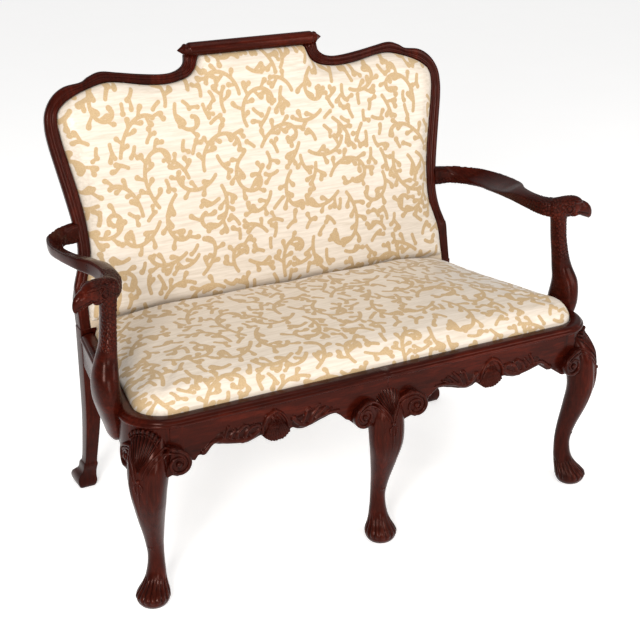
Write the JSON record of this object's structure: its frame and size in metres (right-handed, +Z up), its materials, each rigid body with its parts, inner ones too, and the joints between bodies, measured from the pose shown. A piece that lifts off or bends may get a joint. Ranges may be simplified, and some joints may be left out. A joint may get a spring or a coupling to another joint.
{
  "type": "camelback sofa",
  "caption": "Two-seat settee with a shaped upholstered back, carved open arms, cabriole front legs and a drop-in seat.",
  "frame": {"origin": "on the floor, under the middle of the overall box", "axes": "+X to the right of someone who faces the front, +Y from front to back, +Z up"},
  "size_m": [1.3086, 0.7066, 1.054],
  "materials": {
    "mahogany": "gloss polish",
    "secondary_wood": "bare",
    "cover_fabric": "satin weave",
    "webbing": "matte",
    "stuffing": "matte",
    "dust_cloth": "matte"
  },
  "bodies": {
    "frame": {"arm_left": "mahogany", "arm_right": "mahogany", "arm_support_left": "mahogany", "arm_support_right": "mahogany", "back_cover": "cover_fabric", "back_frame_bottom": "secondary_wood", "back_frame_left": "secondary_wood", "back_frame_right": "secondary_wood", "back_frame_top": "secondary_wood", "back_lower_rail": "secondary_wood", "back_stuffing": "stuffing", "back_webbing": "webbing", "corner_block_front_left": "secondary_wood", "corner_block_front_right": "secondary_wood", "corner_block_rear_left": "secondary_wood", "corner_block_rear_right": "secondary_wood", "crest_rail": "mahogany", "ear_front_left": "mahogany", "ear_front_right": "mahogany", "ear_middle_left": "mahogany", "ear_middle_right": "mahogany", "ear_side_left": "mahogany", "ear_side_right": "mahogany", "front_leg_left": "mahogany", "front_leg_middle": "mahogany", "front_leg_right": "mahogany", "front_seat_rail": "mahogany", "outside_back": "cover_fabric", "rear_cleat": "secondary_wood", "rear_post_left": "mahogany", "rear_post_right": "mahogany", "rear_seat_rail": "mahogany", "seat_centre_brace": "secondary_wood", "side_seat_rail_left": "mahogany", "side_seat_rail_right": "mahogany"},
    "drop_in_seat": {"seat_cover": "cover_fabric", "seat_dust_cover": "dust_cloth", "seat_frame_front": "secondary_wood", "seat_frame_left": "secondary_wood", "seat_frame_middle": "secondary_wood", "seat_frame_rear": "secondary_wood", "seat_frame_right": "secondary_wood", "seat_stuffing": "stuffing", "seat_webbing": "webbing"}
  },
  "joints": [
    {"name": "seat_lift", "type": "slide", "parent": "frame", "child": "drop_in_seat", "axis": [0, 0, 1], "range_m": [0, 0.12]}
  ]
}
